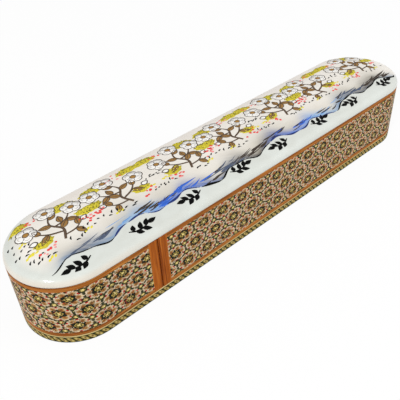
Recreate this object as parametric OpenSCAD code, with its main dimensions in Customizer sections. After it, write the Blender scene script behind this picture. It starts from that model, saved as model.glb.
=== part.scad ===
// Qalamdan pen box: a long wooden box with rounded ends, a crowned painted top and khatam
// marquetry round its sides. The rounded wall at one end is the front of a drawer that
// slides out lengthwise between the top and the base.
// Millimetres, +Z up. X runs along the box and the drawer opens towards -X.
// The origin is the middle of the underside.

/* [Box] */
// Overall length
box_l = 246; // [200:1:300]
// Overall width, which is also the diameter of the rounded ends
box_w = 50; // [44:1:60]
// Height of the side, from the underside to the edge of the painted top
side_h = 33; // [28:0.5:42]

/* [Painted top] */
// Rise of the crowned top above the side
crown_rise = 7; // [6:0.5:10]
// Radius of the rounded rim of the top
rim_r = 4; // [3:0.5:5]
// Thickness of the painted shell over the wooden core
panel_t = 1.5; // [0.8:0.1:2]

/* [Walls] */
// Thickness of the wooden wall under its veneer
wall_t = 4; // [3:0.1:5]
// Thickness of the khatam veneer and of the strips beside it
veneer_t = 1.2; // [0.8:0.1:1.6]
// Thickness of a glue line
glue_t = 0.05; // [0.02:0.01:0.1]

/* [Bands round the side] */
// Height of the patterned border round the base, with the reveal under it
border_h = 3.5; // [2.5:0.1:5]
// Height of the shadow line between the border and the table
reveal_h = 0.2; // [0.1:0.1:0.5]
// Height of the pale line above the border
line_h = 0.6; // [0.4:0.1:1.2]
// Height of the wooden strip below the khatam
lower_strip_h = 2.1; // [1.5:0.1:3]
// Height of the wooden strip above the khatam
upper_strip_h = 2.5; // [1.5:0.1:3.5]
// Width of each upright strip beside the seam
seam_strip_w = 4.5; // [3:0.1:6]

/* [Drawer] */
// Length of the rounded wall that comes out with the drawer
front_l = 53.25; // [45:0.25:65]
// Width of the seam between the drawer front and the case
seam_gap = 0.5; // [0.3:0.1:0.8]
// Gap between the tray and the case wall on each side
side_gap = 0.3; // [0.2:0.1:0.5]
// Gap between the drawer and the base that it slides on
floor_gap = 0.2; // [0.1:0.1:0.4]
// Gap between the drawer front and the top
top_gap = 0.4; // [0.2:0.1:0.6]
// Thickness of the tray walls, whose upper edges are fully rounded
tray_t = 3; // [2:0.5:4]
// Thickness of the tray floor
tray_floor_t = 3; // [2:0.5:4]
// Height of the tray, from the underside of its floor to the rounded edge
tray_h = 24; // [18:0.5:26]
// Thickness of the felt on the tray floor
lining_t = 1; // [0.6:0.1:1.5]
// Gap round the felt
lining_gap = 0.2; // [0.1:0.1:0.5]

/* [Hidden] */
$fn = 96;
half_w = box_w / 2;
straight_l = box_l - box_w;
base_h = border_h + line_h;
khatam_z0 = base_h + lower_strip_h;
khatam_z1 = side_h - upper_strip_h;
core_inset = veneer_t + glue_t;
wall_inset = core_inset + wall_t;
tray_inset = wall_inset + side_gap;
seam_x = front_l - box_l / 2;
front_x = seam_x - seam_gap / 2;
case_x = seam_x + seam_gap / 2;
front_z0 = base_h + floor_gap;
front_z1 = side_h - top_gap;
tray_floor_z = front_z0 + tray_floor_t;
tray_top_z = front_z0 + tray_h;
tray_half_w = half_w - tray_inset;
rim_centre = half_w - rim_r;
crown_r = (rim_centre^2 + crown_rise^2 - rim_r^2) / (2 * (crown_rise - rim_r));
crown_centre_z = crown_rise - crown_r;
strip_wood = "#a85a26";
core_wood = "#b98a5a";
tray_wood = "#c79a66";
khatam_mix = "#94793f";
border_mix = "#8f8640";

// The plan of the box, drawn in by an inset all round
module plan(inset) {
  r = half_w - inset;
  union() {
    square([straight_l, 2 * r], center = true);
    for (side = [-1, 1])
      translate([side * straight_l / 2, 0]) circle(r);
  }
}

// A wall that follows the plan, between two insets
module wall_plan(outer, inner) {
  difference() {
    plan(outer);
    plan(inner);
  }
}

// The stretch of the plan between two places along the box
module stretch(x0, x1) {
  translate([x0, -box_w]) square([x1 - x0, 2 * box_w]);
}

// The half of the plan on one side of the box: -1 is the front, 1 is the back
module half_plan(side) {
  translate([-box_l, side < 0 ? -box_w : 0]) square([2 * box_l, box_w]);
}

// A band round the sides, between two heights and two places along the box
module band(outer, inner, z0, z1, x0, x1) {
  translate([0, 0, z0])
    linear_extrude(z1 - z0)
      intersection() {
        wall_plan(outer, inner);
        stretch(x0, x1);
      }
}

// One straight piece of a band, on one side of the box
module side_band(side, outer, inner, z0, z1, x0, x1) {
  translate([0, 0, z0])
    linear_extrude(z1 - z0)
      intersection() {
        wall_plan(outer, inner);
        stretch(x0, x1);
        half_plan(side);
      }
}

// The crowned top's cross-section above the side: a flat crown arc that runs into the rims
module crown_section(inset) {
  reach = 2 * crown_r / norm([rim_centre, crown_centre_z]);
  intersection() {
    union() {
      intersection() {
        translate([0, crown_centre_z]) circle(crown_r - inset, $fn = 360);
        polygon([
          [0, crown_centre_z],
          [reach * rim_centre, crown_centre_z - reach * crown_centre_z],
          [-reach * rim_centre, crown_centre_z - reach * crown_centre_z]
        ]);
      }
      for (side = [-1, 1])
        translate([side * rim_centre, 0]) circle(rim_r - inset);
    }
    translate([-box_w, 0]) square([2 * box_w, box_w]);
  }
}

// The crowned solid: the section runs along the middle and turns round at the ends
module crown(inset) {
  translate([0, 0, side_h]) {
    rotate([90, 0, 90])
      linear_extrude(straight_l, center = true) crown_section(inset);
    for (side = [-1, 1])
      translate([side * straight_l / 2, 0, 0])
        rotate([0, 0, -90 * side])
          rotate_extrude(angle = 180)
            intersection() {
              crown_section(inset);
              square([box_w, box_w]);
            }
  }
}

// The tray wall's cross-section, as a distance from the middle line and a height
module tray_section() {
  edge_r = tray_t / 2;
  translate([tray_half_w - tray_t, tray_floor_z])
    square([tray_t, tray_top_z - edge_r - tray_floor_z]);
  translate([tray_half_w - edge_r, tray_top_z - edge_r]) circle(edge_r);
}

module tray_side(side) {
  mirror([0, side < 0 ? 1 : 0, 0])
    rotate([90, 0, 90])
      linear_extrude(straight_l, center = true) tray_section();
}

module tray_end(side) {
  translate([side * straight_l / 2, 0, 0])
    rotate([0, 0, -90 * side])
      rotate_extrude(angle = 180) tray_section();
}

module base_board() {
  color(core_wood)
    linear_extrude(base_h) plan(core_inset);
}

module base_border() {
  color(border_mix)
    band(0, veneer_t, reveal_h, border_h, -box_l, box_l);
}

module base_line() {
  color("#e1be6e")
    band(0, veneer_t, border_h, base_h, -box_l, box_l);
}

module case_front_wall() {
  color(core_wood)
    side_band(-1, core_inset, wall_inset, base_h, side_h, case_x, straight_l / 2);
}

module case_back_wall() {
  color(core_wood)
    side_band(1, core_inset, wall_inset, base_h, side_h, case_x, straight_l / 2);
}

module case_end_wall() {
  color(core_wood)
    band(core_inset, wall_inset, base_h, side_h, straight_l / 2, box_l);
}

module case_khatam() {
  color(khatam_mix)
    band(0, veneer_t, khatam_z0, khatam_z1, case_x + seam_strip_w, box_l);
}

module case_upper_strip() {
  color(strip_wood)
    band(0, veneer_t, khatam_z1, side_h, case_x + seam_strip_w, box_l);
}

module case_lower_strip() {
  color(strip_wood)
    band(0, veneer_t, base_h, khatam_z0, case_x + seam_strip_w, box_l);
}

module case_front_seam_strip() {
  color(strip_wood)
    side_band(-1, 0, veneer_t, base_h, side_h, case_x, case_x + seam_strip_w);
}

module case_back_seam_strip() {
  color(strip_wood)
    side_band(1, 0, veneer_t, base_h, side_h, case_x, case_x + seam_strip_w);
}

module top_board() {
  color(core_wood)
    crown(panel_t + glue_t);
}

module painted_panel() {
  color("#ece8de")
    difference() {
      crown(0);
      crown(panel_t);
    }
}

module drawer_front_wall() {
  color(core_wood)
    band(core_inset, tray_inset - glue_t, front_z0, front_z1, -box_l, front_x);
}

module drawer_khatam() {
  color(khatam_mix)
    band(0, veneer_t, khatam_z0, khatam_z1, -box_l, front_x - seam_strip_w);
}

module drawer_upper_strip() {
  color(strip_wood)
    band(0, veneer_t, khatam_z1, front_z1, -box_l, front_x - seam_strip_w);
}

module drawer_lower_strip() {
  color(strip_wood)
    band(0, veneer_t, front_z0, khatam_z0, -box_l, front_x - seam_strip_w);
}

module drawer_front_seam_strip() {
  color(strip_wood)
    side_band(-1, 0, veneer_t, front_z0, front_z1, front_x - seam_strip_w, front_x);
}

module drawer_back_seam_strip() {
  color(strip_wood)
    side_band(1, 0, veneer_t, front_z0, front_z1, front_x - seam_strip_w, front_x);
}

module tray_floor() {
  color(tray_wood)
    translate([0, 0, front_z0])
      linear_extrude(tray_floor_t) plan(tray_inset);
}

module tray_front_side() {
  color(tray_wood) tray_side(-1);
}

module tray_back_side() {
  color(tray_wood) tray_side(1);
}

module tray_nose() {
  color(tray_wood) tray_end(-1);
}

module tray_tail() {
  color(tray_wood) tray_end(1);
}

module tray_lining() {
  color("#6e1f24")
    translate([0, 0, tray_floor_z])
      linear_extrude(lining_t) plan(tray_inset + tray_t + lining_gap);
}

base_board();
base_border();
base_line();
case_front_wall();
case_back_wall();
case_end_wall();
case_khatam();
case_upper_strip();
case_lower_strip();
case_front_seam_strip();
case_back_seam_strip();
top_board();
painted_panel();
drawer_front_wall();
drawer_khatam();
drawer_upper_strip();
drawer_lower_strip();
drawer_front_seam_strip();
drawer_back_seam_strip();
tray_floor();
tray_front_side();
tray_back_side();
tray_nose();
tray_tail();
tray_lining();
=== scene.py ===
"""Looks of the khatam pen box: woods, marquetry, painted top and felt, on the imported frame. Metres."""

import math
import random

import bpy
import numpy as np
from mathutils import Matrix, Vector


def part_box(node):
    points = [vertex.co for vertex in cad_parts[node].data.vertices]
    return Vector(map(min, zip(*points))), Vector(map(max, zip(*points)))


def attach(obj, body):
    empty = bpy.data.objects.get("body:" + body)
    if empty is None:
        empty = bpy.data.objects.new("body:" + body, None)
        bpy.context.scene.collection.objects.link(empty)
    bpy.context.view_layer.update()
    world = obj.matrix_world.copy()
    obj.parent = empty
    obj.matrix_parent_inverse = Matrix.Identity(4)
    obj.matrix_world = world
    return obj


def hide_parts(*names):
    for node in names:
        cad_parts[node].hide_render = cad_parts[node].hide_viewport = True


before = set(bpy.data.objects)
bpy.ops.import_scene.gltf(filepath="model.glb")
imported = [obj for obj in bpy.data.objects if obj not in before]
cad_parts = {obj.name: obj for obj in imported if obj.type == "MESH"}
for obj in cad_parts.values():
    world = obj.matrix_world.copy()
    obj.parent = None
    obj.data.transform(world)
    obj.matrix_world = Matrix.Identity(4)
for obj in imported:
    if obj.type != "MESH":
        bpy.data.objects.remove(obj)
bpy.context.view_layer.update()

random.seed(7)
tile_random = np.random.default_rng(7)

MM = 0.001
TINY = 1e-9
WHITE = (255, 255, 255)

# The box, read from the frame
panel_low, panel_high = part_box("painted_panel")
HALF_L = panel_high.x
HALF_W = panel_high.y
SIDE_H = panel_low.z
CROWN_RISE = panel_high.z - panel_low.z
END_X = HALF_L - HALF_W
STRAIGHT = 2 * END_X
ARC = math.pi * HALF_W
PERIMETER = 2 * (STRAIGHT + ARC)

# Thicknesses and the rim's radius, as in the part's source
VENEER_T = 1.2 * MM
PANEL_T = 1.5 * MM
RIM_R = 4 * MM

# The crowned top's section: a flat arc that runs into the rims
RIM_CENTRE = HALF_W - RIM_R
CROWN_R = (RIM_CENTRE**2 + CROWN_RISE**2 - RIM_R**2) / (2 * (CROWN_RISE - RIM_R))
CROWN_Z = SIDE_H + CROWN_RISE - CROWN_R
CROWN_EDGE = CROWN_R * RIM_CENTRE / (CROWN_R - RIM_R)


def linear(red, green, blue):
    """A colour given as 0 to 255 on screen, as linear light."""
    srgb = np.array([red, green, blue]) / 255
    return np.where(srgb <= 0.04045, srgb / 12.92, ((srgb + 0.055) / 1.055) ** 2.4)


def rgba(colour):
    """A colour on screen as the four numbers that a socket takes."""
    return (*[float(c) for c in linear(*colour)], 1.0)


# Camera, light and floor

# The photograph's camera, fitted to the box's outline: angles in degrees, lens and sensor in millimetres
AZIMUTH, ELEVATION, ROLL = -40.105, 38.807, -3.5
AIM = Vector((-0.01437, 0.01227, 0.00017))
DISTANCE = 0.29652
LENS = 49.803
SENSOR_W = 36
CLIP_START = 0.01

# The lamps: place, diameter and power in watts
LAMP_AIM = (0, 0, 0.02)
KEY_PLACE, KEY_SIZE, KEY_POWER = (-1.28, -0.46, 0.88), 0.4, 13.5
FILL_PLACE, FILL_SIZE, FILL_POWER = (0.5, -0.7, 0.5), 0.6, 3.4

# The surroundings: the light that they give or throw back, their brightness where seen, the floor's glow
WORLD_LIGHT, WORLD_SEEN = 0.56, 1.0
FLOOR_LIGHT, FLOOR_SEEN = 0.5, 0.95
FLOOR_GLOW = 0.92
FLOOR_HALF = 6.0


def add_camera():
    """The photograph's view: the near end is the drawer's, low on the left."""
    azimuth, elevation, roll = (math.radians(a) for a in (AZIMUTH, ELEVATION, ROLL))
    level = math.cos(elevation)
    back = Vector((math.sin(azimuth) * level, -math.cos(azimuth) * level, math.sin(elevation)))
    right = Vector((0, 0, 1)).cross(back).normalized()
    up = back.cross(right)
    heading = Matrix((right, up, back)).transposed() @ Matrix.Rotation(roll, 3, "Z")
    camera = bpy.data.objects.new("camera", bpy.data.cameras.new("camera"))
    camera.data.sensor_width = SENSOR_W
    camera.data.lens = LENS
    camera.data.clip_start = CLIP_START
    camera.matrix_world = Matrix.Translation(AIM + DISTANCE * back) @ heading.to_4x4()
    bpy.context.scene.collection.objects.link(camera)
    bpy.context.scene.camera = camera


def add_area_light(name, place, size, power, mirrored=True):
    """A round lamp. One that isn't mirrored leaves no highlight on varnish and lacquer."""
    light = bpy.data.lights.new(name, "AREA")
    light.shape = "DISK"
    light.size = size
    light.energy = power
    lamp = bpy.data.objects.new(name, light)
    lamp.location = place
    lamp.rotation_euler = (Vector(LAMP_AIM) - Vector(place)).to_track_quat("-Z", "Y").to_euler()
    lamp.visible_glossy = mirrored
    bpy.context.scene.collection.objects.link(lamp)


def ranged(nodes, links, value, low, high):
    """A value from 0 to 1, spread from low to high."""
    spread = nodes.new("ShaderNodeMapRange")
    spread.inputs["To Min"].default_value = low
    spread.inputs["To Max"].default_value = high
    links.new(value, spread.inputs["Value"])
    return spread.outputs["Result"]


def seen_directly(nodes, links):
    """1 where the camera, a mirror or glass looks straight at the surface, and else 0."""
    path = nodes.new("ShaderNodeLightPath")
    seen = path.outputs["Is Camera Ray"]
    for ray in ("Is Glossy Ray", "Is Transmission Ray"):
        either = nodes.new("ShaderNodeMath")
        either.operation = "MAXIMUM"
        links.new(seen, either.inputs[0])
        links.new(path.outputs[ray], either.inputs[1])
        seen = either.outputs[0]
    return seen


def add_world():
    """A white world that gives less light than it shows."""
    world = bpy.data.worlds.new("studio")
    bpy.context.scene.world = world
    world.use_nodes = True
    nodes, links = world.node_tree.nodes, world.node_tree.links
    background = nodes["Background"]
    background.inputs["Color"].default_value = rgba(WHITE)
    strength = ranged(nodes, links, seen_directly(nodes, links), WORLD_LIGHT, WORLD_SEEN)
    links.new(strength, background.inputs["Strength"])


def floor_white():
    """A floor that looks white, keeps the box's shadow and throws back half of the light."""
    material = bpy.data.materials.new("floor_white")
    material.use_nodes = True
    nodes, links = material.node_tree.nodes, material.node_tree.links
    nodes.remove(nodes["Principled BSDF"])
    seen = seen_directly(nodes, links)
    diffuse = nodes.new("ShaderNodeBsdfDiffuse")
    links.new(ranged(nodes, links, seen, FLOOR_LIGHT, FLOOR_SEEN), diffuse.inputs["Color"])
    glow = nodes.new("ShaderNodeEmission")
    glow.inputs["Color"].default_value = rgba(WHITE)
    mix = nodes.new("ShaderNodeMixShader")
    links.new(ranged(nodes, links, seen, 0, FLOOR_GLOW), mix.inputs["Fac"])
    links.new(diffuse.outputs[0], mix.inputs[1])
    links.new(glow.outputs[0], mix.inputs[2])
    links.new(mix.outputs[0], nodes["Material Output"].inputs["Surface"])
    return material


def add_floor():
    """The ground that the box stands on."""
    mesh = bpy.data.meshes.new("floor")
    corners = [(x * FLOOR_HALF, y * FLOOR_HALF, 0) for x, y in ((-1, -1), (1, -1), (1, 1), (-1, 1))]
    mesh.from_pydata(corners, [], [(0, 1, 2, 3)])
    mesh.materials.append(floor_white())
    floor = bpy.data.objects.new("floor", mesh)
    bpy.context.scene.collection.objects.link(floor)


# Materials

# Grain scales per metre: along the grain, across it, and across for the fibres
GRAIN_ALONG, GRAIN_ACROSS, FIBRE_ACROSS = 28, 900, 2600

# Each wood's dark, middle and light tones on screen
STRIP_TONES = (127, 68, 23), (183, 111, 46), (214, 147, 72)
UPRIGHT_TONES = (141, 68, 19), (185, 99, 31), (210, 127, 48)
CORE_TONES = (150, 106, 62), (186, 142, 92), (206, 166, 116)
TRAY_TONES = (160, 112, 66), (198, 152, 100), (216, 176, 126)
FILLET_TONES = (208, 180, 116), (224, 200, 138), (236, 214, 160)
FELT_TONES = (84, 20, 26), (122, 36, 40)


class Shader:
    """A material whose nodes are added one call at a time."""

    def __init__(self, name):
        self.material = bpy.data.materials.new(name)
        self.material.use_nodes = True
        self.nodes = self.material.node_tree.nodes
        self.links = self.material.node_tree.links
        self.surface = self.nodes["Principled BSDF"]

    def constants(self, **values):
        """Constant values on the surface, by socket name with _ for a space."""
        for name, value in values.items():
            self.surface.inputs[name.replace("_", " ")].default_value = value

    def noise(self, scale, detail, distortion=0.0):
        """Noise over the object's coordinates, stretched by three scales per metre."""
        place = self.nodes.new("ShaderNodeTexCoord")
        mapping = self.nodes.new("ShaderNodeMapping")
        mapping.inputs["Scale"].default_value = scale
        self.links.new(place.outputs["Object"], mapping.inputs["Vector"])
        texture = self.nodes.new("ShaderNodeTexNoise")
        texture.inputs["Scale"].default_value = 1.0
        texture.inputs["Detail"].default_value = detail
        texture.inputs["Distortion"].default_value = distortion
        self.links.new(mapping.outputs["Vector"], texture.inputs["Vector"])
        return texture.outputs["Fac"]

    def own_colour(self, layer):
        """The colours that are written on the mesh."""
        own = self.nodes.new("ShaderNodeVertexColor")
        own.layer_name = layer
        return own.outputs["Color"]

    def ramp(self, value, stops):
        """A colour for a value: stops are (position, colour on screen)."""
        ramp = self.nodes.new("ShaderNodeValToRGB")
        elements = ramp.color_ramp.elements
        while len(elements) < len(stops):
            elements.new(0.5)
        for element, (position, colour) in zip(elements, stops):
            element.position = position
            element.color = rgba(colour)
        self.links.new(value, ramp.inputs["Fac"])
        return ramp.outputs["Color"]

    def shaded(self, colour, value, darkest, low, high, share):
        """Feeds the base colour, darkened most where a value is under low and not where it is over high."""
        shade = self.ramp(value, [(low, darkest), (high, WHITE)])
        mix = self.nodes.new("ShaderNodeMix")
        mix.data_type = "RGBA"
        mix.blend_type = "MULTIPLY"
        factor, first, second = (
            next(s for s in mix.inputs if s.name == name and s.enabled) for name in ("Factor", "A", "B")
        )
        factor.default_value = share
        self.links.new(colour, first)
        self.links.new(shade, second)
        result = next(s for s in mix.outputs if s.enabled)
        self.links.new(result, self.surface.inputs["Base Color"])

    def roughened(self, value, low, high):
        """Feeds the roughness with a value spread from low to high."""
        rough = ranged(self.nodes, self.links, value, low, high)
        self.links.new(rough, self.surface.inputs["Roughness"])

    def bump(self, height, strength, distance):
        """Raises the surface by a value."""
        bump = self.nodes.new("ShaderNodeBump")
        bump.inputs["Strength"].default_value = strength
        bump.inputs["Distance"].default_value = distance
        self.links.new(height, bump.inputs["Height"])
        self.links.new(bump.outputs["Normal"], self.surface.inputs["Normal"])


def wood(name, tones, along, rough, coat):
    """Wood with its grain along x, round the wall or up: streaks of its tones with fibres over them."""
    streak = {
        "x": (GRAIN_ALONG, GRAIN_ACROSS, GRAIN_ACROSS),
        "round": (GRAIN_ALONG, GRAIN_ALONG, GRAIN_ACROSS),
        "up": (GRAIN_ACROSS, GRAIN_ACROSS, GRAIN_ALONG),
    }[along]
    stretch = FIBRE_ACROSS / GRAIN_ACROSS
    shader = Shader(name)
    growth = shader.noise(streak, detail=5.0, distortion=0.6)
    colour = shader.ramp(growth, list(zip((0.3, 0.5, 0.72), tones)))
    fibre = shader.noise(tuple(s * stretch for s in streak), detail=3.0)
    shader.shaded(colour, fibre, darkest=(205, 200, 195), low=0.35, high=0.65, share=0.8)
    shader.roughened(fibre, rough - 0.08, rough + 0.1)
    shader.bump(fibre, strength=0.25, distance=0.05 * MM)
    shader.constants(Specular_IOR_Level=0.0, Coat_Weight=coat, Coat_Roughness=0.12)
    return shader.material


def tiles(name):
    """Marquetry: each tile's own colour, with wood fibre over it, under varnish."""
    shader = Shader(name)
    fibre = shader.noise((3200, 3200, 1500), detail=3.0)
    own = shader.own_colour("tile")
    shader.shaded(own, fibre, darkest=(215, 210, 205), low=0.3, high=0.7, share=0.7)
    shader.roughened(fibre, 0.3, 0.44)
    shader.bump(fibre, strength=0.12, distance=0.03 * MM)
    shader.constants(Specular_IOR_Level=0.0, Coat_Weight=0.2, Coat_Roughness=0.1)
    return shader.material


def lacquer_ground():
    """The painted ground with its washes, under clear lacquer."""
    shader = Shader("lacquer_ground")
    cloud = shader.noise((90, 160, 90), detail=4.0, distortion=0.8)
    own = shader.own_colour("paint")
    shader.shaded(own, cloud, darkest=(244, 242, 240), low=0.3, high=0.7, share=0.8)
    shader.roughened(cloud, 0.28, 0.4)
    shader.constants(Specular_IOR_Level=0.15, Coat_Weight=0.4, Coat_Roughness=0.08)
    return shader.material


def paint(name, colour):
    """One brush colour, under a thinner lacquer that leaves the black deep."""
    shader = Shader(name)
    drag = shader.noise((700, 700, 700), detail=2.0)
    shader.roughened(drag, 0.3, 0.45)
    shader.constants(Base_Color=rgba(colour), Specular_IOR_Level=0.0, Coat_Weight=0.1, Coat_Roughness=0.08)
    return shader.material


def felt_cloth():
    """Dark red felt: a cloudy nap with fine fuzz."""
    shader = Shader("felt")
    fuzz = shader.noise((2200, 2200, 2200), detail=6.0)
    nap = shader.noise((160, 160, 160), detail=3.0)
    colour = shader.ramp(nap, list(zip((0.3, 0.7), FELT_TONES)))
    shader.shaded(colour, fuzz, darkest=(190, 180, 180), low=0.3, high=0.7, share=0.8)
    shader.bump(fuzz, strength=0.6, distance=0.25 * MM)
    shader.constants(Roughness=0.95, Sheen_Weight=0.4, Sheen_Roughness=0.5)
    return shader.material


# Meshes


def add_mesh(name, places, faces, material, body):
    """A smooth piece that rides on a body and shows one material."""
    mesh = bpy.data.meshes.new(name)
    mesh.from_pydata([tuple(p) for p in places], [], [tuple(f) for f in faces])
    mesh.materials.append(material)
    mesh.shade_smooth()
    piece = bpy.data.objects.new(name, mesh)
    bpy.context.scene.collection.objects.link(piece)
    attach(piece, body)
    return piece


def quads(grid):
    """The quads between the neighbours of a grid of point numbers."""
    corners = [grid[:-1, :-1], grid[1:, :-1], grid[1:, 1:], grid[:-1, 1:]]
    return np.stack(corners, -1).reshape(-1, 4).tolist()


def closed(rows):
    """Rows of points or point numbers that end with the first one again."""
    return np.concatenate([rows, rows[:1]])


def thicken(piece, thickness):
    """Gives a sheet its thickness, inwards from the face that shows."""
    solid = piece.modifiers.new("thickness", "SOLIDIFY")
    solid.thickness = thickness
    solid.offset = -1


def write_colours(piece, layer, domain, colours):
    """Writes linear colours to a mesh, one for each point or corner."""
    values = np.ones((len(colours), 4), np.float32)
    values[:, :3] = colours
    attribute = piece.data.color_attributes.new(layer, "FLOAT_COLOR", domain)
    attribute.data.foreach_set("color", values.ravel())


def colour_tiles(piece, colours):
    """Writes each face's colour to all its corners."""
    counts = np.empty(len(piece.data.polygons), int)
    piece.data.polygons.foreach_get("loop_total", counts)
    write_colours(piece, "tile", "CORNER", np.repeat(colours, counts, axis=0))


def wall_points(along, height):
    """Places on the outer wall. along is 0 where the front's straight starts and grows towards +X."""
    s = np.where(along > 2 * STRAIGHT + ARC, along - PERIMETER, along)
    past_far = np.clip(s - STRAIGHT, 0, ARC) / HALF_W
    past_near = np.clip(s, -ARC, 0) / HALF_W
    on_front = -END_X + np.clip(s, 0, STRAIGHT)
    x = on_front + HALF_W * np.sin(past_far) + HALF_W * np.sin(past_near)
    y = -HALF_W * np.cos(past_far + past_near)
    x = x - np.clip(s - STRAIGHT - ARC, 0, None) + np.clip(-ARC - s, 0, None)
    return np.stack([x, y, np.broadcast_to(height, x.shape)], axis=1)


def on_top(plan, lift):
    """Places on the crowned top over plan points, raised along the surface by lift."""
    x, y = plan[:, 0], plan[:, 1]
    past = x - np.clip(x, -END_X, END_X)
    out = np.hypot(past, y)
    crown = np.minimum(out, CROWN_EDGE) / CROWN_R
    rim = np.clip((out - RIM_CENTRE) / RIM_R, -1, 1)
    tilt = np.where(out <= CROWN_EDGE, crown, rim)
    rise = np.sqrt(np.clip(1 - tilt**2, 0, 1))
    height = np.where(out <= CROWN_EDGE, CROWN_Z + CROWN_R * rise, SIDE_H + RIM_R * rise)
    push = lift * tilt / np.maximum(out, TINY)
    return np.stack([x + push * past, y + push * y, height + lift * rise], axis=1)


# Khatam

# Medallions along the wall, rows of them, and the small triangles that they are made of
PITCH = 11.92 * MM
ROW_H = 8.06 * MM
COLUMNS_PER_PITCH = 20
TILES_PER_ROW = 15
COLUMN_W = PITCH / COLUMNS_PER_PITCH
TILE_H = ROW_H / TILES_PER_ROW
SPARE_TILES = 3
JOINED = 0.001 * MM

# The same pattern before its rows are squashed, where the triangles have equal sides
FLAT_ROW = PITCH * math.sqrt(3) / 2
FLAT_SIDE = COLUMN_W * 2 / math.sqrt(3)

# Where a medallion of the middle row lies along the wall, and how far each lower row is shifted
DRAWER_START, DRAWER_LEAN = 4.42 * MM, 0.5 * MM
CASE_START, CASE_LEAN = 36.4 * MM, 0.7 * MM

# Handwork: how far tiles wander and in what waves, how many are of a wrong wood, and how much tones vary
WANDER = 0.22 * MM
SWAY_L, SWAY_UP, SWAY_TURN = 4.3 * MM, 5 * MM, 3
HEAVE_L, HEAVE_UP = 6.1 * MM, 7 * MM
STRAY_SHARE = 0.12
KHATAM_SPREAD = 0.35

KHATAM_WOODS = {
    "yellow": (236, 217, 140),
    "gold": (192, 168, 86),
    "dark": (24, 30, 16),
    "green": (56, 60, 34),
    "olive": (96, 90, 48),
    "brown": (150, 92, 44),
    "tan": (182, 142, 84),
    "pale": (212, 192, 162),
    "red": (204, 46, 40),
}

# The star at each corner and the red tiles where petals meet: distances from the corner, and how straight
# towards a medallion's middle a tile lies, as a cosine
CORNER_HEART, CORNER_POINTS, CORNER_FILL = 0.5 * MM, 0.95 * MM, 1.1 * MM
CORNER_RIM, CORNER_ARM = 1.5 * MM, 1.75 * MM
RED_FROM, RED_TO = 2.0 * MM, 2.5 * MM
ARM_FACING, RED_FACING = 0.95, 0.98

# The petals: their middle's distance from the star's, distances from that middle and from their axis, and
# the angle from their axis where the gap between them starts
PETAL_OUT = 3.55 * MM
PETAL_HEART, PETAL_INSIDE = 1.0 * MM, 1.25 * MM
PETAL_SIDE, PETAL_TIP = 2.3 * MM, 2.1 * MM
AXIS_HALF, STALK_HALF, NECK_HALF = 0.2 * MM, 0.4 * MM, 1.2 * MM
GAP_TURN = 19


def first_to_hold(rules, palette, otherwise):
    """For each tile, the number of the wood whose rule is the first to hold there."""
    names = list(palette)
    holds, woods = zip(*rules)
    return np.select(list(holds), [names.index(name) for name in woods], names.index(otherwise))


def tile_colours(kinds, palette, spread):
    """A linear colour for each tile: that of its wood, lighter or darker by up to the spread."""
    woods = np.array([linear(*colour) for colour in palette.values()])
    return woods[kinds] * (1 + spread * tile_random.uniform(-1, 1, (len(kinds), 1)))


def folded(x, y):
    """Folds flat khatam places into a twelfth of a medallion's cell: across its side, and along it."""
    nearest = np.full(x.shape, np.inf)
    dx, dy = np.zeros_like(x), np.zeros_like(y)
    for step in (-1, 0, 1):
        j = np.round(y / FLAT_ROW) + step
        i = np.round((x - j * PITCH / 2) / PITCH)
        ex, ey = x - i * PITCH - j * PITCH / 2, y - j * FLAT_ROW
        closer = ex**2 + ey**2 < nearest
        nearest = np.where(closer, ex**2 + ey**2, nearest)
        dx, dy = np.where(closer, ex, dx), np.where(closer, ey, dy)
    sixth = math.pi / 3
    turn = np.abs((np.arctan2(dy, dx) + sixth / 2) % sixth - sixth / 2)
    reach = np.sqrt(nearest)
    return reach * np.cos(turn), reach * np.sin(turn)


def khatam_kinds(across, along):
    """The wood of each tile: a star in a dark ring, six pale-rimmed petals, small stars at the corners."""
    ring = across / COLUMN_W
    apex_out = ring % 1 < 0.5
    turn = np.degrees(np.arctan2(along, across))
    petal = np.hypot(across - PETAL_OUT, along)
    corner_x, corner_y = PITCH / 2, PITCH / 2 / math.sqrt(3)
    back_x, back_y = corner_x - across, corner_y - along
    corner = np.hypot(back_x, back_y)
    towards = corner_x * back_x + corner_y * back_y
    facing = towards / (np.maximum(corner, TINY) * math.hypot(corner_x, corner_y))
    rules = [
        (corner < CORNER_HEART, "yellow"),
        (corner < CORNER_POINTS, "gold"),
        (corner < CORNER_FILL, "olive"),
        ((facing > RED_FACING) & (corner > RED_FROM) & (corner < RED_TO), "red"),
        ((facing > ARM_FACING) & (corner < CORNER_ARM), "dark"),
        (corner < CORNER_RIM, "green"),
        (ring < 1, "yellow"),
        ((ring < 2) & apex_out, "gold"),
        (ring < 2, "dark"),
        ((ring < 3) & ((along < AXIS_HALF) | apex_out), "gold"),
        (ring < 4, "dark"),
        ((ring < 5) & ((turn > GAP_TURN) | apex_out), "dark"),
        ((petal > PETAL_TIP) & (ring > 9), "green"),
        ((petal > PETAL_SIDE) & (ring > 5), "green"),
        (ring < 5, "brown"),
        ((ring < 7) & (along < STALK_HALF), "brown"),
        ((ring < 6) & (along < NECK_HALF), "tan"),
        ((petal < PETAL_HEART) & apex_out, "brown"),
        (petal < PETAL_INSIDE, "tan"),
    ]
    return first_to_hold(rules, KHATAM_WOODS, "pale")


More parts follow.
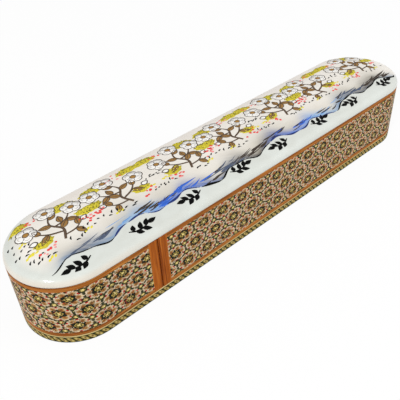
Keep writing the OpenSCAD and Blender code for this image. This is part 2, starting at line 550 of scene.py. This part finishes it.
def triangle_lattice(first_column, last_column, first_row, last_row):
    """A field of triangles: the column and level of each corner, and the corners of each triangle."""
    columns, rows = np.arange(first_column, last_column + 1), np.arange(first_row, last_row + 1)
    column, row = np.meshgrid(columns, rows, indexing="ij")
    level = row + 0.5 * (column % 2)
    index = np.arange(column.size).reshape(column.shape)
    a, b = index[:-1, :-1], index[:-1, 1:]
    c, d = index[1:, :-1], index[1:, 1:]
    odd = (column[:-1, :-1] % 2 == 1)[..., None]
    left = np.where(odd, np.stack([a, d, b], -1), np.stack([a, c, b], -1))
    right = np.where(odd, np.stack([c, d, a], -1), np.stack([c, d, b], -1))
    faces = np.concatenate([left.reshape(-1, 3), right.reshape(-1, 3)])
    return column.ravel(), level.ravel(), faces


def trimmed(place, faces):
    """Joins equal corners and drops triangles without area. Returns corners, triangles and which stayed."""
    place, joined = np.unique(np.round(place / JOINED), axis=0, return_inverse=True)
    place = place * JOINED
    faces = joined.ravel()[faces]
    p, q, r = (place[faces[:, k]] for k in range(3))
    area = (q[:, 0] - p[:, 0]) * (r[:, 1] - p[:, 1]) - (q[:, 1] - p[:, 1]) * (r[:, 0] - p[:, 0])
    kept = np.abs(area) > JOINED**2
    used, faces = np.unique(faces[kept], return_inverse=True)
    return place[used], faces.reshape(-1, 3), kept


def khatam_sheet(body, along0, along1, start, lean, material):
    """A body's khatam veneer from along0 to along1, in place of its plain solid."""
    node = body + "_khatam"
    low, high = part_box(node)
    middle = (low.z + high.z) / 2
    column, level, faces = triangle_lattice(
        math.floor((along0 - start) / COLUMN_W) - SPARE_TILES,
        math.ceil((along1 - start) / COLUMN_W) + SPARE_TILES,
        math.floor((low.z - middle) / TILE_H) - SPARE_TILES,
        math.ceil((high.z - middle) / TILE_H) + SPARE_TILES,
    )
    flat = np.stack([column * COLUMN_W, level * FLAT_SIDE], 1)
    centre = flat[faces].mean(1)
    kinds = khatam_kinds(*folded(centre[:, 0], centre[:, 1]))
    stray = tile_random.random(len(kinds)) < STRAY_SHARE
    kinds = np.where(stray, tile_random.permutation(kinds), kinds)

    height = level * TILE_H
    along = start + column * COLUMN_W - lean * height / ROW_H
    along = along + WANDER * np.sin(along / SWAY_L + SWAY_TURN * np.sin(height / SWAY_UP))
    height = middle + height + WANDER * np.sin(along / HEAVE_L + height / HEAVE_UP)
    place = np.stack([np.clip(along, along0, along1), np.clip(height, low.z, high.z)], 1)
    place, faces, kept = trimmed(place, faces)
    piece = add_mesh(node + "_tiles", wall_points(*place.T), faces, material, body)
    colour_tiles(piece, tile_colours(kinds, KHATAM_WOODS, KHATAM_SPREAD)[kept])
    thicken(piece, VENEER_T)
    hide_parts(node)


# Border

# Slanted lozenges round the base, and the parts that each is divided into
BORDER_PITCH = 2.97 * MM
BORDER_SLANT = 0.85
BORDER_PARTS, BORDER_LEVELS = 16, 8
BORDER_SPREAD = 0.15

BORDER_WOODS = {
    "dark": (34, 40, 18),
    "moss": (66, 66, 28),
    "olive": (108, 93, 38),
    "yellow": (151, 131, 57),
    "bright": (206, 187, 114),
    "rust": (110, 60, 30),
}

# Shares of a lozenge's half length and half height
BORDER_EDGE = 0.8
LOZENGE_RISE = 0.5
LOZENGE_EDGE, LOZENGE_RIM, LOZENGE_HEART = 0.97, 0.8, 0.55
EYE_OUT, EYE_UP = 0.2, 0.3


def border_kinds(share, level):
    """The wood of each border tile: lozenges with a bright heart and a brown eye, set in dark wood."""
    out, up = 2 * np.abs(share - 0.5), 2 * np.abs(level - 0.5)
    lozenge = out + LOZENGE_RISE * up
    rules = [
        (up > BORDER_EDGE, "moss"),
        (lozenge > LOZENGE_EDGE, "dark"),
        ((out < EYE_OUT) & (up < EYE_UP), "rust"),
        (lozenge < LOZENGE_HEART, "bright"),
        (lozenge < LOZENGE_RIM, "yellow"),
    ]
    return first_to_hold(rules, BORDER_WOODS, "olive")


def border_band(material):
    """The border round the base as one band of tiles, in place of its plain solid."""
    low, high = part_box("base_border")
    columns = round(PERIMETER / BORDER_PITCH) * BORDER_PARTS
    column, level = np.meshgrid(np.arange(columns), np.arange(BORDER_LEVELS + 1), indexing="ij")
    height = low.z + (high.z - low.z) * level / BORDER_LEVELS
    along = column * PERIMETER / columns - BORDER_SLANT * (height - low.z)
    faces = quads(closed(np.arange(column.size).reshape(column.shape)))
    share = ((column[:, :-1] % BORDER_PARTS) + 0.5) / BORDER_PARTS
    kinds = border_kinds(share.ravel(), ((level[:, :-1] + 0.5) / BORDER_LEVELS).ravel())
    places = wall_points(along.ravel(), height.ravel())
    piece = add_mesh("border_tiles", places, faces, material, "case")
    colour_tiles(piece, tile_colours(kinds, BORDER_WOODS, BORDER_SPREAD))
    thicken(piece, VENEER_T)
    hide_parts("base_border")


# Painted ground

# Here and in the brushwork, places for colours and strokes are in millimetres
END = END_X / MM

CREAM = linear(245, 240, 231)
ROSE_GREY = linear(238, 230, 221)
BORDER_WHITE = linear(216, 220, 214)
# The next colour is a painted reflection of the wooden strip on the near rim's lower edge
REFLECTED_STRIP_CREAM = linear(230, 218, 202)
TAUPE = linear(140, 135, 110)

# The washes along the shore from the near end to the far one, and the brush that edges each
WASHES = {
    "sky": linear(150, 190, 230),
    "blue": linear(62, 116, 218),
    "slate": linear(92, 106, 130),
    "umber": linear(80, 72, 64),
}
EDGES = {"sky": "ink", "blue": "ink", "slate": "black", "umber": "black"}
SHORE = ["sky", "slate", "sky", "blue", "slate", "umber", "blue", "sky", "slate", "umber", "sky"]
SHORE_X = np.linspace(-121, 121, len(SHORE))

# The sprigs in the pale border, which the shore swings round
FIRST_SPRIG, SPRIG_PITCH, SPRIG_Y = -102, 28.6, -19.6
SPRIGS = 8

# The shore's height, its waves as (height, length, phase), and its fall away from the near end
SHORE_Y = -14.9
SPRIG_SWING = 1.6
SHORE_WAVES = (0.9, 11.5, 0.6), (0.4, 1.9, 0)
SHORE_FALL, FALL_RANGE = 2.2, (-90, -30)

# Ranges over which colours come in, from none to all
BACK_RANGE, BACK_SHARE = (9, 21), 0.75
ENDS_RANGE = (115, 106)
ROUND_RANGE, ROUND_END_RANGE = (16, 22), (0, -10)
# Where the painted reflection of the wooden strip lies: out from the middle line, towards the near end, and
# its share
REFLECTED_EDGE_RANGE, REFLECTED_END_RANGE, REFLECTED_SHARE = (23.7, 24.9), (-60, -95), 0.7

# The haze over the shore, and the washes with their dragged strokes
HAZE_REACH, HAZE_LEAST, HAZE_SWELL, HAZE_WAVE = 7, 0.5, 0.4, 23
WASH_REACH, WASH_SWELL, WASH_WAVE = 2.2, 2.6, 8.3
WASH_SHARE, WASH_FADE = 0.9, 1.6
DRAG_DEPTH, DRAG_SLANT, DRAG_FINE, DRAG_SLOW = 0.25, 2.2, 1.3, 0.31

# The panel's mesh: steps over the crown and rim, stations along the straight, turns round an end
CROWN_STEP = 0.6 * MM
RIM_STEPS = 14
STATIONS = 300
END_TURNS = 72


def between(value, limits):
    """0 up to the first limit, 1 from the second on, and evenly in between; they may run downwards."""
    start, end = limits
    return np.clip((value - start) / (end - start), 0, 1)


def blend(first, second, share):
    """Colours between two, by a share for each place."""
    return first + (second - first) * share[:, None]


def shore(x):
    """The lower edge of the washes along the pale border."""
    swing = SPRIG_SWING * np.cos(2 * math.pi * (x - FIRST_SPRIG) / SPRIG_PITCH)
    waves = sum(height * np.sin(x / length + phase) for height, length, phase in SHORE_WAVES)
    return SHORE_Y + swing + waves - SHORE_FALL * between(x, FALL_RANGE)


def zone(x):
    """The wash nearest to a place along the box."""
    return SHORE[int(np.argmin(np.abs(SHORE_X - x)))]


def wash_share(x, above):
    """How much of a wash shows: most at the shore, fading upwards in dragged strokes."""
    reach = WASH_REACH + WASH_SWELL * np.sin(x / WASH_WAVE) ** 2
    strokes = np.sin((x + DRAG_SLANT * above) * DRAG_FINE) * np.sin(x * DRAG_SLOW)
    fade = np.exp(-((np.maximum(above, 0) / reach) ** WASH_FADE))
    return WASH_SHARE * fade * (1 + DRAG_DEPTH * strokes)


def haze_share(x, above):
    """How much of the haze over the shore shows."""
    swell = HAZE_LEAST + HAZE_SWELL * np.sin(x / HAZE_WAVE + 1) ** 2
    return np.exp(-np.maximum(above, 0) / HAZE_REACH) * swell


def ground_colour(x, y):
    """The ground's colour over plan places: cream field, haze, washes, pale border, near rim's painted
    strip reflection.
    """
    above = y - shore(x)
    ends = between(np.abs(x), ENDS_RANGE)
    wash = np.stack([np.interp(x, SHORE_X, [WASHES[s][c] for s in SHORE]) for c in range(3)], 1)
    field = blend(CREAM, ROSE_GREY, BACK_SHARE * between(y, BACK_RANGE))
    field = blend(field, TAUPE, ends * haze_share(x, above))
    field = blend(field, wash, np.clip(ends * wash_share(x, above), 0, 1))
    past_end = x + END
    round_end = between(np.hypot(past_end, y), ROUND_RANGE) * between(past_end, ROUND_END_RANGE)
    field = blend(field, BORDER_WHITE, round_end)
    painted = np.where((above > 0)[:, None], field, BORDER_WHITE)
    out = np.hypot(x - np.clip(x, -END, END), y)
    # Painted reflection: the wooden strip's warm colour on the rim's lower edge, towards the near end
    painted_reflection = REFLECTED_SHARE * between(x, REFLECTED_END_RANGE) * between(out, REFLECTED_EDGE_RANGE)
    return np.clip(blend(painted, REFLECTED_STRIP_CREAM, painted_reflection), 0, 1)


def panel_reaches():
    """Distances from the panel's middle line: even over the crown, and by angle over the rim."""
    rim_start = math.asin((CROWN_EDGE - RIM_CENTRE) / RIM_R)
    rim = RIM_CENTRE + RIM_R * np.sin(np.linspace(rim_start, math.pi / 2, RIM_STEPS))
    return np.concatenate([np.arange(0, CROWN_EDGE, CROWN_STEP), rim])


def painted_panel():
    """The crowned panel as one fine sheet: ruled along the middle and fanned round the ends."""
    reaches = panel_reaches()
    hub = len(reaches) - 1
    across = np.concatenate([-reaches[:0:-1], reaches])
    x, y = np.meshgrid(np.linspace(-END_X, END_X, STATIONS), across, indexing="ij")
    plan = np.stack([x.ravel(), y.ravel()], 1)
    ruled = np.arange(x.size).reshape(x.shape)
    faces = quads(ruled)
    for side, edge in ((1, ruled[-1]), (-1, ruled[0])):
        angles = np.linspace(-math.pi / 2, math.pi / 2, END_TURNS + 1)[1:-1] * side
        fan_x = side * (END_X + np.outer(np.cos(angles), reaches[1:]))
        fan_y = np.outer(np.sin(angles), reaches[1:])
        first, last = (edge[hub - 1 :: -1], edge[hub + 1 :])[::side]
        inner = len(plan) + np.arange(fan_x.size).reshape(fan_x.shape)
        fan = np.vstack([first, inner, last])
        plan = np.concatenate([plan, np.stack([fan_x.ravel(), fan_y.ravel()], 1)])
        faces += [(edge[hub], fan[k, 0], fan[k + 1, 0]) for k in range(END_TURNS)]
        faces += quads(fan.T)
    places = on_top(plan, 0.0)
    piece = add_mesh("painted_ground", places, faces, lacquer_ground(), "case")
    write_colours(piece, "paint", "POINT", ground_colour(plan[:, 0] / MM, plan[:, 1] / MM))
    thicken(piece, PANEL_T)
    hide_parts("painted_panel")


# Brushwork

# How far from the middle line a brush may go
BRUSH_REACH = 22.3

# A stroke's height over the ground, what each layer adds, and how far it is sunk
STROKE_LIFT, LAYER_LIFT, STROKE_SUNK = 0.012, 0.008, 0.03

# Widths of fine lines
LEAF_LINE, RIB_LINE, ROSE_LINE, BUD_LINE, FOLD_LINE = 0.28, 0.36, 0.38, 0.45, 0.5

# Each brush's colour on screen and its layer
PAINTS = {
    "olive": ((204, 189, 58), 1),
    "moss": ((114, 107, 50), 2),
    "yellow": ((236, 221, 70), 3),
    "stem": ((98, 80, 65), 1),
    "ochre": ((158, 119, 68), 2),
    "white": ((248, 246, 241), 4),
    "grey": ((208, 201, 194), 5),
    "heart": ((172, 129, 68), 5),
    "outline": ((86, 74, 65), 6),
    "black": ((8, 8, 8), 3),
    "red": ((234, 76, 74), 4),
    "pink": ((248, 156, 154), 4),
    "ink": ((40, 56, 116), 3),
    "sky": ((132, 174, 225), 1),
    "blue": ((62, 108, 210), 2),
    "slate": ((86, 97, 119), 2),
    "umber": ((72, 63, 56), 2),
}


def kept_in(plan, margin=0):
    """Pulls plan points back to where the brush may go, or to a margin inside that."""
    plan = np.asarray(plan, float)
    middle = np.stack([np.clip(plan[:, 0], -END, END), np.zeros(len(plan))], 1)
    away = plan - middle
    out = np.hypot(away[:, 0], away[:, 1])
    return middle + away * np.minimum(1, (BRUSH_REACH - margin) / np.maximum(out, TINY))[:, None]


class Brush:
    """Collects the strokes of one colour as thin closed solids on the crowned top."""

    def __init__(self, name, colour, layer):
        self.name = name
        self.colour = colour
        self.lift = (STROKE_LIFT + LAYER_LIFT * layer) * MM
        self.places = []
        self.faces = []
        self.count = 0

    def add(self, plan, lift):
        """Adds plan points and returns the number of the first."""
        first = self.count
        self.places.append(on_top(plan * MM, lift))
        self.count += len(plan)
        return first

    def close(self, top, under, count):
        """Joins the rims of the top and the underside."""
        for k in range(count):
            m = (k + 1) % count
            self.faces.append((under + k, under + m, top + m, top + k))

    def patch(self, outline):
        """A filled shape from its outline, all of it in sight of its middle."""
        outline = kept_in(outline)
        x, y = outline.T
        if np.sum(x * np.roll(y, -1) - np.roll(x, -1) * y) < 0:
            outline = outline[::-1]
        n = len(outline)
        middle = outline.mean(0)
        top = self.add(outline, self.lift)
        inner = self.add((outline + middle) / 2, self.lift)
        hub = self.add(middle[None], self.lift)
        under = self.add(outline, -STROKE_SUNK * MM)
        for k in range(n):
            m = (k + 1) % n
            self.faces += [(top + k, top + m, inner + m, inner + k), (inner + k, inner + m, hub)]
        self.faces.append(tuple(under + k for k in reversed(range(n))))
        self.close(top, under, n)

    def stroke(self, path, widths):
        """A brush stroke along a path, with its width at each point or all along."""
        path = kept_in(path)
        run = np.gradient(path, axis=0)
        run /= np.maximum(np.hypot(run[:, 0], run[:, 1]), TINY)[:, None]
        widths = np.broadcast_to(np.asarray(widths, float), len(path))
        side = np.stack([-run[:, 1], run[:, 0]], 1) * widths[:, None] / 2
        outline = np.concatenate([path - side, (path + side)[::-1]])
        n = len(path)
        top = self.add(outline, self.lift)
        under = self.add(outline, -STROKE_SUNK * MM)
        for k in range(n - 1):
            quad = (k, k + 1, 2 * n - 2 - k, 2 * n - 1 - k)
            self.faces.append(tuple(top + q for q in quad))
            self.faces.append(tuple(under + q for q in reversed(quad)))
        self.close(top, under, 2 * n)

    def sweep(self, path, width, **shape):
        """A stroke that swells at its belly."""
        self.stroke(path, tapered(len(path), width, **shape))

    def finish(self):
        """Makes the strokes into one piece."""
        material = paint("paint_" + self.name, self.colour)
        places = np.concatenate(self.places)
        add_mesh("painted_" + self.name, places, self.faces, material, "case")


BRUSHES = {name: Brush(name, colour, layer) for name, (colour, layer) in PAINTS.items()}


def curve(points, steps=8):
    """A smooth open curve through given points."""
    p = np.asarray(points, float)
    p = np.concatenate([2 * p[:1] - p[1:2], p, 2 * p[-1:] - p[-2:-1]])
    t = np.linspace(0, 1, steps, endpoint=False)[:, None]
    parts = []
    for a, b, c, d in zip(p[:-3], p[1:-2], p[2:-1], p[3:]):
        bend = 2 * a - 5 * b + 4 * c - d
        twist = 3 * b - a - 3 * c + d
        parts.append(0.5 * (2 * b + (c - a) * t + bend * t**2 + twist * t**3))
    return np.concatenate(parts + [p[-2:-1]])


def tapered(count, width, start=0.25, end=0.1, belly=0.4):
    """Widths of a stroke that swells at its belly."""
    t = np.linspace(0, 1, count)
    swell = np.where(t < belly, t / belly, (1 - t) / (1 - belly))
    tips = start + (end - start) * t
    return width * (tips + (1 - tips) * np.sin(swell * math.pi / 2))


def turned(points, angle, at=(0, 0), size=1.0, flip=False):
    """Moves a motif's points: mirrored if flipped, sized, turned by degrees and set down."""
    p = np.asarray(points, float) * size
    if flip:
        p = p * (-1, 1)
    c, s = math.cos(math.radians(angle)), math.sin(math.radians(angle))
    return p @ np.array([[c, s], [-s, c]]) + at


# Motifs


def almond(length, width):
    """A leaf's outline along x."""
    t = np.linspace(0, 1, 9)
    half = width / 2 * np.sin(math.pi * t**0.8)
    right = np.stack([t * length, -half], 1)
    left = np.stack([t * length, half], 1)[-2:0:-1]
    return np.concatenate([right, left])


def leaf(brush, at, angle, length, width):
    """A plain leaf of one colour."""
    BRUSHES[brush].patch(turned(almond(length, width), angle, at))


def brown_leaf(at, angle, length, width):
    """A brown leaf with its rib and an outline."""
    leaf("ochre", at, angle, length, width)
    rib = turned(curve([(0, 0), (0.5 * length, 0.1 * width), (length, 0)], 4), angle, at)
    BRUSHES["outline"].sweep(rib, RIB_LINE)
    BRUSHES["outline"].stroke(turned(closed(almond(length, width)), angle, at), LEAF_LINE)


def dot(brush, at, radius):
    """A round dab, a little wider than high."""
    a = np.linspace(0, 2 * math.pi, 9)[:-1]
    BRUSHES[brush].patch(np.stack([np.cos(a), 0.8 * np.sin(a)], 1) * radius + at)


# A rose in shares of its radius: the depth of its scallops, its heart, and points of a crease and a fold
PETALS = 5
ROSE_DEPTH, HEART_SIZE, HEART_DEPTH = 0.28, 0.3, 0.2
CREASE = [(0.34, 0), (0.52, 0.05), (0.72, 0)]
FOLD = [(0.6, -0.24), (0.76, 0), (0.6, 0.24)]


def rose(at, radius, turn):
    """A white dog rose: outlined petals with grey folds round a brown heart."""
    a = np.linspace(0, 2 * math.pi, 61)
    phase = math.radians(turn)

    def scallop(size, depth):
        r = size * (1 - depth + depth * np.abs(np.cos(PETALS / 2 * (a - phase))) ** 0.5)
        return np.stack([r * np.cos(a), r * np.sin(a)], 1) + at

    flower = scallop(radius, ROSE_DEPTH)
    BRUSHES["white"].patch(flower[:-1])
    BRUSHES["outline"].stroke(flower, ROSE_LINE)
    for k in range(PETALS):
        way = turn + 360 / PETALS * k
        BRUSHES["outline"].sweep(turned(curve(CREASE, 4), way + 180 / PETALS, at, radius), RIB_LINE)
        BRUSHES["grey"].sweep(turned(curve(FOLD, 4), way, at, radius), FOLD_LINE)
    heart = scallop(HEART_SIZE * radius, HEART_DEPTH)
    BRUSHES["heart"].patch(heart[:-1])
    BRUSHES["outline"].stroke(heart, RIB_LINE)


# The rose shrub: its shoots as points and a width, its leaves and buds as (x, y, angle, length), and its
# flowers as (x, y, radius, turn)
SHOOTS = [
    ([(0, -2), (2.4, 4), (-0.6, 10), (2.0, 17)], 1.2),
    ([(1.6, 2.5), (-4.0, 5.0), (-9.0, 10.5)], 0.95),
    ([(0.4, 7.5), (6.0, 8.5), (10.5, 13)], 0.95),
    ([(1.4, 0), (6.5, 0.5), (10.5, 3)], 0.8),
]
SHRUB_LEAVES = [
    (2.2, 4.5, 40, 6.4),
    (-0.2, 9.0, 160, 6.0),
    (-4.0, 5.0, 215, 6.2),
    (-6.5, 7.4, 110, 5.0),
    (6.0, 8.5, -30, 6.2),
    (4.0, 8.2, 80, 5.2),
    (6.5, 0.6, -60, 5.2),
    (8.6, 1.8, 70, 5.0),
    (1.0, 13.5, 35, 5.4),
]
SHRUB_LEAF_W = 2.9
FLOWERS = [(2.2, 20, 5.0, 10), (-10.5, 13.0, 4.9, 40), (12.5, 15, 4.8, 75)]
BUDS = [(10.8, 3.2, 30, 3.8), (-9.4, 4.6, 170, 3.8)]
BUD_W = 2.6


def rose_tree(at, flip, size):
    """A bent rose shrub with three flowers, brown leaves and buds."""

    def put(points):
        return turned(points, 0, at, size, flip)

    def aim(angle):
        return 180 - angle if flip else angle

    for points, width in SHOOTS:
        BRUSHES["stem"].sweep(put(curve(points)), width, start=0.9, end=0.3, belly=0.15)
    for x, y, angle, length in SHRUB_LEAVES:
        brown_leaf(put([(x, y)])[0], aim(angle), length * size, SHRUB_LEAF_W * size)
    for x, y, radius, turn in FLOWERS:
        rose(put([(x, y)])[0], radius * size, aim(turn))
    for x, y, angle, length in BUDS:
        bud = turned(almond(length * size, BUD_W * size), aim(angle), put([(x, y)])[0])
        BRUSHES["white"].patch(bud)
        BRUSHES["outline"].stroke(closed(bud), BUD_LINE)


# A bush's touches: number to a square millimetre, spread, margin from where the brush stops, angles, sizes
TOUCHES, TOUCH_SPREAD, TOUCH_MARGIN = 0.7, 0.96, 1.3
TOUCH_ANGLES, TOUCH_LENGTHS, TOUCH_W = (30, 150), (0.7, 1.2), 0.5

# Grass: a blade's points, the blades' number, spacing and width, and the angles that they start from
BLADE = [(0, 0), (0.7, 0.3), (1.6, 0.2)]
BLADES, BLADE_STEP, BLADE_W = 4, 1.6, 0.55
BLADE_LEANS = (-15, 20, 50)

# The sizes of dots, and the spacing, turn from one to the next, length and width of dabs
DOT_RADII = (0.45, 0.8)
DAB_STEP, DAB_TURN, DAB_L, DAB_W = 1.5, 12, 1.9, 1.0


def bush(at, length, height, bend):
    """A yellow-green clump, stippled with lighter and darker touches."""
    a = np.linspace(0, 2 * math.pi, 33)[:-1]
    wave = 1 + 0.1 * np.sin(8 * a + length)

    def bent(x, y):
        return np.stack([x, y + bend * (2 * x / length) ** 2], -1) + at

    BRUSHES["olive"].patch(bent(length / 2 * np.cos(a) * wave, height / 2 * np.sin(a) * wave))
    for k in range(int(length * height * TOUCHES)):
        r, t = math.sqrt(random.random()) * TOUCH_SPREAD, random.random() * 2 * math.pi
        where = bent(length / 2 * r * math.cos(t), height / 2 * r * math.sin(t))
        where = kept_in([where], TOUCH_MARGIN)[0]
        brush = "yellow" if k % 2 else "moss"
        leaf(brush, where, random.uniform(*TOUCH_ANGLES), random.uniform(*TOUCH_LENGTHS), TOUCH_W)


def dots(at, spread, count):
    """A scatter of red and pink dots."""
    for _ in range(count):
        place = (at[0] + random.gauss(0, spread), at[1] + random.gauss(0, spread / 2))
        dot(random.choice(("red", "red", "pink")), place, random.uniform(*DOT_RADII))


def ticks(at, size):
    """A few short black grass strokes."""
    for k in range(BLADES):
        aside = BLADE_STEP * size * (k - (BLADES - 1) / 2) + random.uniform(-0.5, 0.5)
        start = np.add(at, (aside, random.uniform(-1, 1)))
        lean = random.choice(BLADE_LEANS) + random.uniform(-12, 12)
        blade = turned(curve(BLADE, 4), lean, start, size * random.uniform(0.6, 1.1))
        BRUSHES["black"].sweep(blade, BLADE_W * size)


def dab(at, angle):
    """Three yellow dabs side by side."""
    for k in range(3):
        place = np.add(at, (DAB_STEP * (k - 1), 0.5 * (k % 2)))
        leaf("yellow", place, angle + DAB_TURN * k, DAB_L, DAB_W)


# The sprig's stem, its leaves as (x, y, angle, length), and a leaf's width
SPRIG_STEM = [(-5.2, 1.2), (-2.0, -0.2), (1.8, -0.2), (4.4, 0.8)]
SPRIG_LEAVES = [
    (-3.4, 0.4, 62, 3.2),
    (-2.6, 0.0, -38, 3.8),
    (-0.4, -0.3, 56, 4.0),
    (0.6, -0.3, -30, 4.2),
    (2.4, 0.0, 48, 4.0),
    (4.0, 0.6, 6, 4.6),
]
SPRIG_STEM_W, SPRIG_LEAF_W = 0.8, 2.2


def sprig(at, flip):
    """A black leafy twig lying in the pale border."""
    stem = turned(curve(SPRIG_STEM), 0, at, flip=flip)
    BRUSHES["black"].sweep(stem, SPRIG_STEM_W, start=0.5, end=0.4)
    for x, y, angle, length in SPRIG_LEAVES:
        outline = turned(almond(length, SPRIG_LEAF_W), angle, (x, y))
        BRUSHES["black"].patch(turned(outline, 0, at, flip=flip))


# Layout of the painting

# Lines along the shore: their number, where the first starts, their spacing, and ranges of length and width
SHORE_LINES, SHORE_START, SHORE_STEP = 24, -113, 9.4
SHORE_LENGTHS, SHORE_WIDTHS = (8, 12), (0.5, 1.3)

# Strokes over the washes: their number, and ranges for their place, length, rise, offset and width
WASH_STROKES = 130
STROKE_X, STROKE_LENGTHS, STROKE_RISES = (-110, 104), (4, 11), (0.2, 2.0)
STROKE_OFFSETS, STROKE_WIDTHS = (0.2, 3.0), (0.3, 1.1)

# The shrubs in a row, and what stands at places beside each: bushes with length, height and bend, dots with
# spread and count, grass with size, and dabs with angle
SHRUBS, SHRUB_PITCH, SHRUB_Y = 7, 33, -4
SHRUB_SIZES = (0.94, 1.0)
BUSHES = [
    (8, 14.6, 15, 6, -0.8),
    (-12, 16.6, 13, 5.4, -0.8),
    (15.5, 3.6, 10.5, 5, 0.9),
    (-7.5, -1.6, 9, 4.6, 0.9),
]
DOTS = [(15, -1.0, 2.2, 9), (-5, 15.6, 2.4, 8), (-8, -5.6, 2.2, 9)]
GRASS = [(4.0, -8.0, 1.3), (12.0, -5.4, 1.3), (-14.0, -6.0, 1.2), (-15.5, 3.0, 1.2)]
DABS = [(9.0, -7.4, 20), (-12.5, -3.0, 160)]

# Grass with a dab beside it at the near end
NEAR_GRASS = [(-116, 7), (-117, -1), (-111, -8)]
NEAR_GRASS_SIZE, NEAR_DAB_ANGLE = 1.3, 30


def paint_shore():
    """Brush lines along the shore, and strokes that rise from it over the washes."""
    for k in range(SHORE_LINES):
        x = np.linspace(0, random.uniform(*SHORE_LENGTHS), 16) + SHORE_START + SHORE_STEP * k
        line = np.stack([x, shore(x)], 1)
        brush = EDGES[zone(x.mean())]
        BRUSHES[brush].sweep(line, random.uniform(*SHORE_WIDTHS), start=0.2, end=0.15)
    for _ in range(WASH_STROKES):
        x = random.uniform(*STROKE_X)
        length, rise = random.uniform(*STROKE_LENGTHS), random.uniform(*STROKE_RISES)
        path = curve([(0, 0), (0.45 * length, 0.2 * rise), (length, rise)], 6)
        path = path + (x, max(shore(x), shore(x + length)) + random.uniform(*STROKE_OFFSETS))
        brush = random.choice((zone(x), zone(x), "umber"))
        BRUSHES[brush].sweep(path, random.uniform(*STROKE_WIDTHS), start=0.2, end=0.1, belly=0.3)


def paint_shrub(x, flip):
    """One rose shrub with the bushes, dots, grass and dabs round it."""
    turn = -1 if flip else 1
    rose_tree((x, SHRUB_Y + random.uniform(-0.6, 0.6)), flip, random.uniform(*SHRUB_SIZES))
    for aside, y, length, height, bend in BUSHES:
        bush((x + aside * turn, y), length, height, bend)
    for aside, y, spread, count in DOTS:
        dots((x + aside * turn, y), spread, count)
    for aside, y, size in GRASS:
        ticks((x + aside * turn, y), size)
    for aside, y, angle in DABS:
        dab((x + aside * turn, y), angle)


def paint_the_top():
    """The whole painting, from the shore to the sprigs in the pale border."""
    paint_shore()
    for k in range(SHRUBS):
        x = SHRUB_PITCH * (k - (SHRUBS - 1) / 2) + random.uniform(-1, 1)
        paint_shrub(x, k % 2 == 1)
    for x, y in NEAR_GRASS:
        ticks((x, y), NEAR_GRASS_SIZE)
        dab((x + 2, y - 2.6), NEAR_DAB_ANGLE)
    for k in range(SPRIGS):
        sprig((FIRST_SPRIG + SPRIG_PITCH * k, SPRIG_Y), k % 2 == 0)
    for brush in BRUSHES.values():
        brush.finish()


# Felt

FELT_TURNS, FELT_RUNS = 24, 60

# The sheet's rings from its cut edge inwards: share of the way out, and how far it drops there
FELT_RINGS = [(1.0, 0.55), (0.985, 0.12), (0.9, 0.0), (0.7, 0.0), (0.5, 0.0), (0.3, 0.0), (0.1, 0.0)]

# The uneven nap: its depth as a share of the thickness, and its waves per millimetre
NAP_DEPTH, NAP_X, NAP_Y = 0.05, 0.9, 1.3


def felt_sheet():
    """The felt on the tray floor: a cut sheet with a soft edge and a slightly uneven nap."""
    low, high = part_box("tray_lining")
    half = high.y
    end = high.x - half
    thickness = high.z - low.z
    angles = np.linspace(-math.pi / 2, math.pi / 2, FELT_TURNS + 1)
    far = np.stack([end + half * np.cos(angles), half * np.sin(angles)], 1)
    run = np.linspace(end, -end, FELT_RUNS + 1)[1:-1]
    back = np.stack([run, np.full(len(run), half)], 1)
    outline = np.concatenate([far, back, -far, -back])
    n = len(outline)
    spine = np.stack([np.clip(outline[:, 0], -end, end), np.zeros(n)], 1)
    places = [np.column_stack([outline, np.full(n, low.z)])]
    for share, drop in FELT_RINGS:
        plan = spine + (outline - spine) * share
        nap = NAP_DEPTH * (1 + np.sin(plan[:, 0] / MM * NAP_X) * np.sin(plan[:, 1] / MM * NAP_Y))
        places.append(np.column_stack([plan, high.z - thickness * (drop + nap)]))
    rings = np.arange(n * len(places)).reshape(len(places), n)
    faces = quads(closed(rings.T))
    faces += [rings[-1].tolist(), rings[0, ::-1].tolist()]
    piece = add_mesh("felt_lining", np.concatenate(places), faces, felt_cloth(), "drawer")
    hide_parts("tray_lining")


# Plain woods on the CAD's own pieces


def dress(material, *nodes):
    """Gives CAD nodes their material."""
    for node in nodes:
        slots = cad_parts[node].data.materials
        slots.clear()
        slots.append(material)


def dress_woods():
    """The strips, walls, boards, tray and fillet."""
    level = wood("strip_wood_round", STRIP_TONES, "round", rough=0.34, coat=0.12)
    upright = wood("strip_wood_upright", UPRIGHT_TONES, "up", rough=0.34, coat=0.12)
    for body in ("case", "drawer"):
        dress(level, f"{body}_upper_strip", f"{body}_lower_strip")
        dress(upright, f"{body}_front_seam_strip", f"{body}_back_seam_strip")
    core = wood("core_wood", CORE_TONES, "round", rough=0.6, coat=0.0)
    dress(core, "case_front_wall", "case_back_wall", "case_end_wall", "drawer_front_wall")
    board = wood("board_wood", CORE_TONES, "x", rough=0.6, coat=0.0)
    dress(board, "base_board", "top_board")
    tray = wood("tray_wood", TRAY_TONES, "round", rough=0.5, coat=0.2)
    dress(tray, "tray_floor", "tray_front_side", "tray_back_side", "tray_nose", "tray_tail")
    fillet = wood("pale_fillet", FILLET_TONES, "round", rough=0.35, coat=0.12)
    dress(fillet, "base_line")


def lay_khatam():
    """The drawer's and the case's khatam, up to the upright strips on both sides of the seam."""
    material = tiles("khatam")
    drawer_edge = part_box("drawer_khatam")[1].x + END_X
    case_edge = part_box("case_khatam")[0].x + END_X
    case_end = 2 * STRAIGHT + ARC - case_edge
    khatam_sheet("drawer", -ARC - drawer_edge, drawer_edge, DRAWER_START, DRAWER_LEAN, material)
    khatam_sheet("case", case_edge, case_end, CASE_START, CASE_LEAN, material)


add_camera()
add_world()
add_floor()
add_area_light("key", KEY_PLACE, KEY_SIZE, KEY_POWER)
add_area_light("fill", FILL_PLACE, FILL_SIZE, FILL_POWER, mirrored=False)
dress_woods()
lay_khatam()
border_band(tiles("border_marquetry"))
painted_panel()
paint_the_top()
felt_sheet()

bpy.context.scene.view_settings.view_transform = "Standard"
